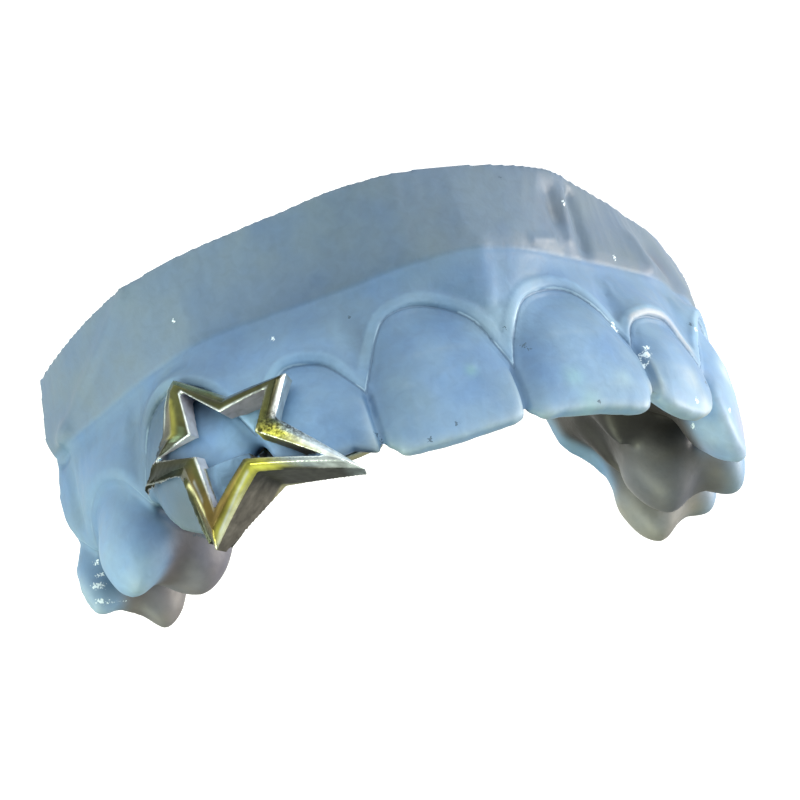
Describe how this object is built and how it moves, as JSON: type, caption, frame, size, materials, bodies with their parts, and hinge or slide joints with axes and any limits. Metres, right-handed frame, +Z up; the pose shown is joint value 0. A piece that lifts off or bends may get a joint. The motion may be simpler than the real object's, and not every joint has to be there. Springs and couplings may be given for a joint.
{
  "type": "star grillz on a dental cast stand",
  "caption": "Open star-shaped tooth grill of polished pale gold, seated on the canine of an upper dental cast that stands on its flat base.",
  "frame": {"origin": "middle of the bounding box at the bottom, on the surface that the cast's flat base stands on", "axes": "+Z up towards the biting edges, -Y out of the front teeth, +X to the wearer's right, where the star sits"},
  "size_m": [0.0512, 0.0258, 0.0185],
  "materials": {
    "cast_resin": "smooth satin blue-grey resin",
    "pale_gold": "polished pale gold"
  },
  "bodies": {
    "root": {"dental_cast": "cast_resin", "star_grill": "pale_gold"}
  },
  "joints": []
}
